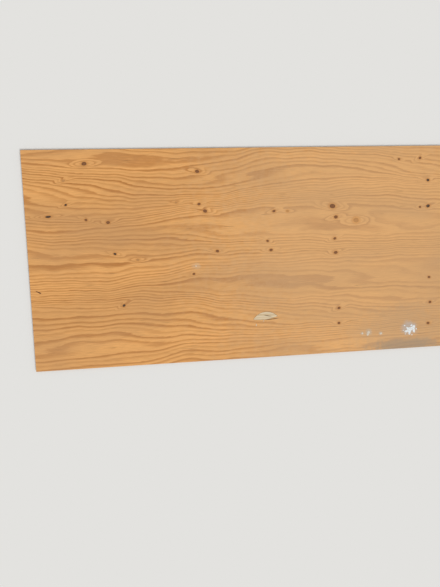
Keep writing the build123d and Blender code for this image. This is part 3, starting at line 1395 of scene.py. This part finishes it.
@dataclass
class OuterVeneer(Veneer):
    """The face or the back veneer, with its surface modelled fibre bundle by fibre bundle.

    Attributes:
        along_step, across_step: Cells of the grid on its surface, in metres.
        near_knot: How far from a knot's middle the grid is finer, as a share of the knot's length
            and the millimetres that are added to it.
    """

    map_rows: int = 1
    map_shares: tuple[float, ...] = (0.9, 0.02, 0.015, 0.015, 0.015, 0.015, 0.01, 0.01)
    along_step: float = 14 * MM
    across_step: float = 3.2 * MM
    near_knot: tuple[float, float] = (0.8, 8)

    def lay_up(self) -> Object:
        """Makes the untrimmed veneer with a fine grid on its open side, finest at its knots.

        Returns:
            The veneer.
        """
        size = [self.sheet.size.x + self.overhang, self.sheet.size.y + self.overhang]
        levels = [self.floor, self.floor + self.thickness]
        glued, opened = levels[:: self.facing]
        cells = (round(size[0] / self.along_step), round(size[1] / self.across_step))
        middle = (0, 0, opened - self.facing * self.sheet.skin)
        slab = grid_slab(self.name, middle, size, cells, glued)
        with editing(slab):
            pick(slab, self._at_knot, Element.FACE)
            bpy.ops.mesh.subdivide(number_cuts=2)
        return slab

    def _at_knot(self, place: Vector, way: Vector) -> bool:
        """Finds the cells of the open side that are near enough to a knot to need a finer grid.

        Args:
            place: The middle of the cell, in metres.
            way: Its normal.

        Returns:
            Whether it is one of them.
        """
        share, margin = self.near_knot
        return way.z * self.facing > ALIGNED and any(
            math.hypot(place.x / MM - knot.x, place.y / MM - knot.y) < share * knot.length + margin
            for knot in self.grain.knots
        )

    def cutters(self) -> list[Object]:
        """Makes the plugs of the open knotholes, and the wedges of the splits.

        Returns:
            The cutters.
        """
        start = self.floor if self.facing > 0 else self.floor - MM
        dropped = [knot for knot in self.grain.knots if knot.kind is KnotKind.OPEN]
        return super().cutters() + [knot.plug(start, self.thickness + MM) for knot in dropped]


@dataclass
class FaceVeneer(OuterVeneer):
    """The face veneer, with its patch recess, gouge, stains and painted shade.

    Attributes:
        patch: The patch that it has room for.
        gouge: Its gouge.
        stains_and_shade: Its discoloured places, and painted shade in the gouge and in the open joint below
            the patch.
    """

    facing: Facing = Facing.UP
    patch: RepairPatch = RepairPatch()
    gouge: Gouge = Gouge()
    stains_and_shade: tuple[StainOrShade, ...] = StainOrShade.several(
        (760, 60, 2300, 2300, 0, "#D2AC7E", 0.35), (960, -520, 760, 420, 0, "#A98F70", 0.3),
        (965, -590, 520, 100, 0, "#8A7F70", 0.5), (995, -484, 120, 96, 0, "#AEAFAF", 0.55),
        (-297, -53, 60, 40, 0, "#CDB79A", 0.3), (737, -497, 48, 46, 0, "#BBAE99", 0.45),
        (694, -502, 34, 27, 0, "#BBAE99", 0.35), (812, -508, 32, 28, 0, "#BBAE99", 0.35),
        # Dirt and painted shade in the open joint below the patch: the dark streak at x 134
        # Painted shade in the gouge's hollow: the two dark ovals at x -1177 and -1169
        (134, -384, 104, 6.5, 4, "#54391F", 0.85), (-1177, -163, 33, 6, -28, "#4A2A16", 0.95),
        (-1169, -168, 17, 9, -30, "#54301A", 0.85),
    )

    def cutters(self) -> list[Object]:
        """Makes the knothole plugs, the patch recess and the gouge."""
        recess = self.patch.outline.solid(self.floor, self.sheet.high.z + MM)
        return super().cutters() + [recess, self.gouge.bar(self.sheet.high.z)]

    def surface(self) -> Finish:
        """The finish of the weathered face."""
        return PeeledFinish("weathered_face_softwood", self.grain, stains_and_shade=self.stains_and_shade)


@dataclass
class BackVeneer(OuterVeneer):
    """The rougher back veneer, open side down."""

    facing: Facing = Facing.DOWN

    def surface(self) -> Finish:
        """The finish of the back, which rain and sun reached less."""
        return PeeledFinish("back_softwood", self.grain, "#CFA06A", "#AD7740", "#B08F68", wear=0.5)


@dataclass
class PaintMark:
    """A dried splash of paint on the face, run together from several blobs.

    Attributes:
        name: The piece's name.
        sheet: The board that it is on.
        blobs: The blobs that it ran together from.
        finish: Its paint.
        film: How thick the paint stands over the face, in metres.
        tall: How tall it is while it is shaped, so that its rim comes out round, in metres.
        grain: Width of the cells that it is shaped in, in metres.
    """

    name: str
    sheet: Sheet
    blobs: tuple[Oval, ...]
    finish: Finish
    film: float = 0.3 * MM
    tall: float = 6 * MM
    grain: float = 0.9 * MM

    def build(self) -> Object:
        """Makes the splash as one closed skin.

        Returns:
            The finished piece.
        """
        domes = []
        for blob in self.blobs:
            ball = {"segments": 24, "ring_count": 12, "radius": 0.5}
            domes.append(added(bpy.ops.mesh.primitive_uv_sphere_add, self.name, **ball))
            blob.fit(domes[-1], 0.0, 2 * self.tall)
        splash = domes[0]
        join(domes)
        finish_with(splash, "REMESH", mode="VOXEL", voxel_size=self.grain)
        finish_with(splash, "SMOOTH", factor=0.6, iterations=6)
        settle(splash, (0, 0, self.sheet.high.z), size=(1, 1, self.film / self.tall))
        splash.data.materials.append(self.finish.material())
        bpy.ops.object.shade_smooth()
        return splash


@dataclass(frozen=True)
class Studio:
    """A pale floor, even light, a soft lamp and a camera where the photographer stood.

    Attributes:
        sheet: The board that it is lit and framed for.
        eye: The camera's place over the middle of the face, in metres.
        aim: The point of the face in the middle of the picture, in metres from its middle.
        roll: Degrees that the picture's upright leans from the sheet's +Y.
        lens, sensor: Its focal length and the width of its sensor, in millimetres.
        clip: The nearest and farthest that it sees, in metres.
        pale: Colour of the floor and of what lies beyond it, as hex.
        sky_share: Share of the light that comes evenly from all round.
        lamp_tilt, lamp_side: Degrees that the lamp stands from overhead, and the way it leans.
        lamp_width: How wide the lamp looks from the sheet, in degrees.
        floor_width: Width of the floor, in metres.
    """

    sheet: Sheet
    eye: Place = (-0.4505, -0.0164, 2.5374)
    aim: Place = (-0.1648, -0.2178, 0)
    roll: float = 2.244
    lens: float = 27.05
    sensor: float = 36.0
    clip: tuple[float, float] = (0.05, 100.0)
    pale: str = "#E3E2DF"
    sky_share: float = 0.5
    lamp_tilt: float = 42.0
    lamp_side: float = 35.0
    lamp_width: float = 30.0
    floor_width: float = 400.0

    def build(self) -> None:
        """Sets up the floor, the world, the lamp and the camera."""
        self._floor()
        self._world()
        self._lamp()
        self._camera()

    def _floor(self) -> None:
        """Lays the plain pale floor under the sheet."""
        place = (0, 0, self.sheet.low.z)
        floor = added(bpy.ops.mesh.primitive_plane_add, "studio_floor", size=self.floor_width, location=place)
        material = bpy.data.materials.new("studio_floor_paint")
        material.use_nodes = True
        shader = material.node_tree.nodes["Principled BSDF"]
        shader.inputs["Base Color"].default_value = linear(self.pale)
        shader.inputs["Roughness"].default_value = 1.0
        shader.inputs["Specular IOR Level"].default_value = 0.0
        floor.data.materials.append(material)

    def _world(self) -> None:
        """Lights the scene evenly and shows the floor's own colour beyond it."""
        world = bpy.data.worlds.new("studio_world")
        bpy.context.scene.world = world
        world.use_nodes = True
        world.node_tree.nodes.clear()
        pen = Pen(world.node_tree)
        soft = pen.add("Background", ((1, 1, 1, 1), self.sky_share))
        shown = pen.add("Background", (linear(self.pale), 1.0))
        seen = 0.0
        for kind in ("Camera", "Glossy", "Transmission"):
            ray = pen.add("LightPath", out=f"Is {kind} Ray")
            seen = pen.add("Math", (seen, ray), operation="MAXIMUM")
        pen.add("OutputWorld", (pen.add("MixShader", (seen, soft, shown)),))

    def _lamp(self) -> None:
        """Hangs one very wide soft lamp far off, so that it lights the whole floor alike.

        A level matt surface shows its colour as written where all the light on it adds up to pi
        watts on each square metre, and the lamp gives what the sky leaves.
        """
        tilt = math.radians(self.lamp_tilt)
        lamp = bpy.data.lights.new("soft_lamp", "SUN")
        lamp.angle = math.radians(self.lamp_width)
        lamp.energy = (1 - self.sky_share) * math.pi / math.cos(tilt)
        hung = bpy.data.objects.new("soft_lamp", lamp)
        hung.rotation_euler = (tilt, 0, math.radians(self.lamp_side))
        bpy.context.scene.collection.objects.link(hung)

    def _camera(self) -> None:
        """Places the camera at the photograph's angle and frame."""
        data = bpy.data.cameras.new("camera")
        data.sensor_width, data.lens = self.sensor, self.lens
        data.clip_start, data.clip_end = self.clip
        camera = bpy.data.objects.new("camera", data)
        back = (Vector(self.eye) - Vector(self.aim)).normalized()
        upright = Matrix.Rotation(math.radians(-self.roll), 3, "Z") @ Vector((0, 1, 0))
        right = upright.cross(back).normalized()
        turn = Matrix((right, back.cross(right), back)).transposed().to_4x4()
        eye = Vector((0, 0, self.sheet.high.z)) + Vector(self.eye)
        camera.matrix_world = Matrix.Translation(eye) @ turn
        scene = bpy.context.scene
        scene.collection.objects.link(camera)
        scene.camera = camera
        scene.view_settings.view_transform = "Standard"


@dataclass
class PlywoodSheet:
    """The whole sheet: five veneers, a repair patch and the marks that it has picked up.

    Attributes:
        sheet: The board's sizes and lay-up.
        patch: Its repair patch.
    """

    sheet: Sheet
    patch: RepairPatch = RepairPatch()

    def veneers(self) -> list[Veneer]:
        """Lists the veneers from the back up.

        Returns:
            The veneers, each with its gaps and knots.
        """
        sheet, across = self.sheet, GrainWay.ACROSS
        left, near, _ = sheet.low / MM
        right, far, _ = sheet.high / MM
        splits = (
            RimGap(right, near + 505, 3.2, 420, 90, taper=0.02),
            RimGap(left, far - 262, 2.4, 300, -90, taper=0.02),
        )
        lower = (
            RimGap(left + 1010, near, 9, 140, 0),
            RimGap(left + 760, far, 5, 90, 180),
            RimGap(right - 352, far, 6, 75, 180),
        )
        centre = (RimGap(left, near + 330, 7, 120, -90), RimGap(right, far - 420, 5, 90, 90))
        upper = (
            RimGap(left + 395, near, 6, 110, 0),
            RimGap(right - 640, near, 4, 80, 0),
            RimGap(right - 980, far, 8, 130, 180),
        )
        back_grain, face_grain = VeneerGrain(7.0, knots=BACK_KNOTS), VeneerGrain(23.0, knots=FACE_KNOTS)
        levels = [sheet.low.z + sheet.outer + sheet.inner * i for i in range(4)]
        return [
            BackVeneer("back_veneer", sheet, sheet.low.z, sheet.outer, back_grain, splits),
            Veneer("lower_crossband", sheet, levels[0], sheet.inner, VeneerGrain(11.0, across), lower),
            Veneer("centre_veneer", sheet, levels[1], sheet.inner, VeneerGrain(15.0), centre),
            Veneer("upper_crossband", sheet, levels[2], sheet.inner, VeneerGrain(19.0, across), upper),
            FaceVeneer("face_veneer", sheet, levels[3], sheet.outer, face_grain, patch=self.patch),
        ]

    def marks(self) -> list[PaintMark]:
        """Lists the paint marks.

        Returns:
            The splash near the right end and the few drops elsewhere.
        """
        splash = Oval.several(
            (997, -497, 30, 31, 20), (1013, -488, 27, 19, 25), (1026, -481, 19, 27, -15),
            (1027, -503, 15, 26, 12), (978, -505, 25, 14, 12), (998, -517, 14, 20, -8),
            (1011, -470, 15, 11, 40), (983, -484, 14, 10, -30), (1042, -493, 8, 10, 0),
            (958, -498, 7, 5, 0), (971, -521, 8, 6, 30), (1014, -528, 6, 9, 0),
            (967, -469, 10, 7, -20),
        )
        drops = Oval.several(
            (735, -498, 17, 18, -10), (730, -510, 13, 18, -25), (695, -502, 11, 13, 0),
            (813, -509, 16, 13, 10), (88, -393, 6, 6, 0), (43, -414, 5, 15, -5),
            (-297, -53, 9, 7, -15),
        )
        white = MottledFinish("dried_white_acrylic", "#E2E5E5", "#B4B2AB", rough=0.55)
        dusty = MottledFinish("dusty_dried_acrylic", "#D3C7B4", "#AC9A80", rough=0.7)
        return [
            PaintMark("paint_splash", self.sheet, splash, white),
            PaintMark("paint_drops", self.sheet, drops, dusty),
        ]

    def build(self) -> list[Object]:
        """Builds every piece, from the back up.

        Returns:
            The finished pieces.
        """
        envelope = self.sheet.envelope()
        pieces = [veneer.build(envelope) for veneer in self.veneers()]
        bpy.data.meshes.remove(envelope.data)
        return pieces + [self.patch.build(self.sheet)] + [mark.build() for mark in self.marks()]


def main() -> None:
    """Builds the sheet piece by piece and its studio, and notes how large the visual model is."""
    logging.basicConfig(level=logging.INFO, format="%(message)s")
    sheet = Sheet(*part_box(NODE))
    for piece in PlywoodSheet(sheet).build():
        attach(piece, "root")
        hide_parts(NODE)
        LOG.info("%s: %d triangles", piece.name, sum(len(face.vertices) - 2 for face in piece.data.polygons))
    Studio(sheet).build()


if __name__ == "__main__":
    main()
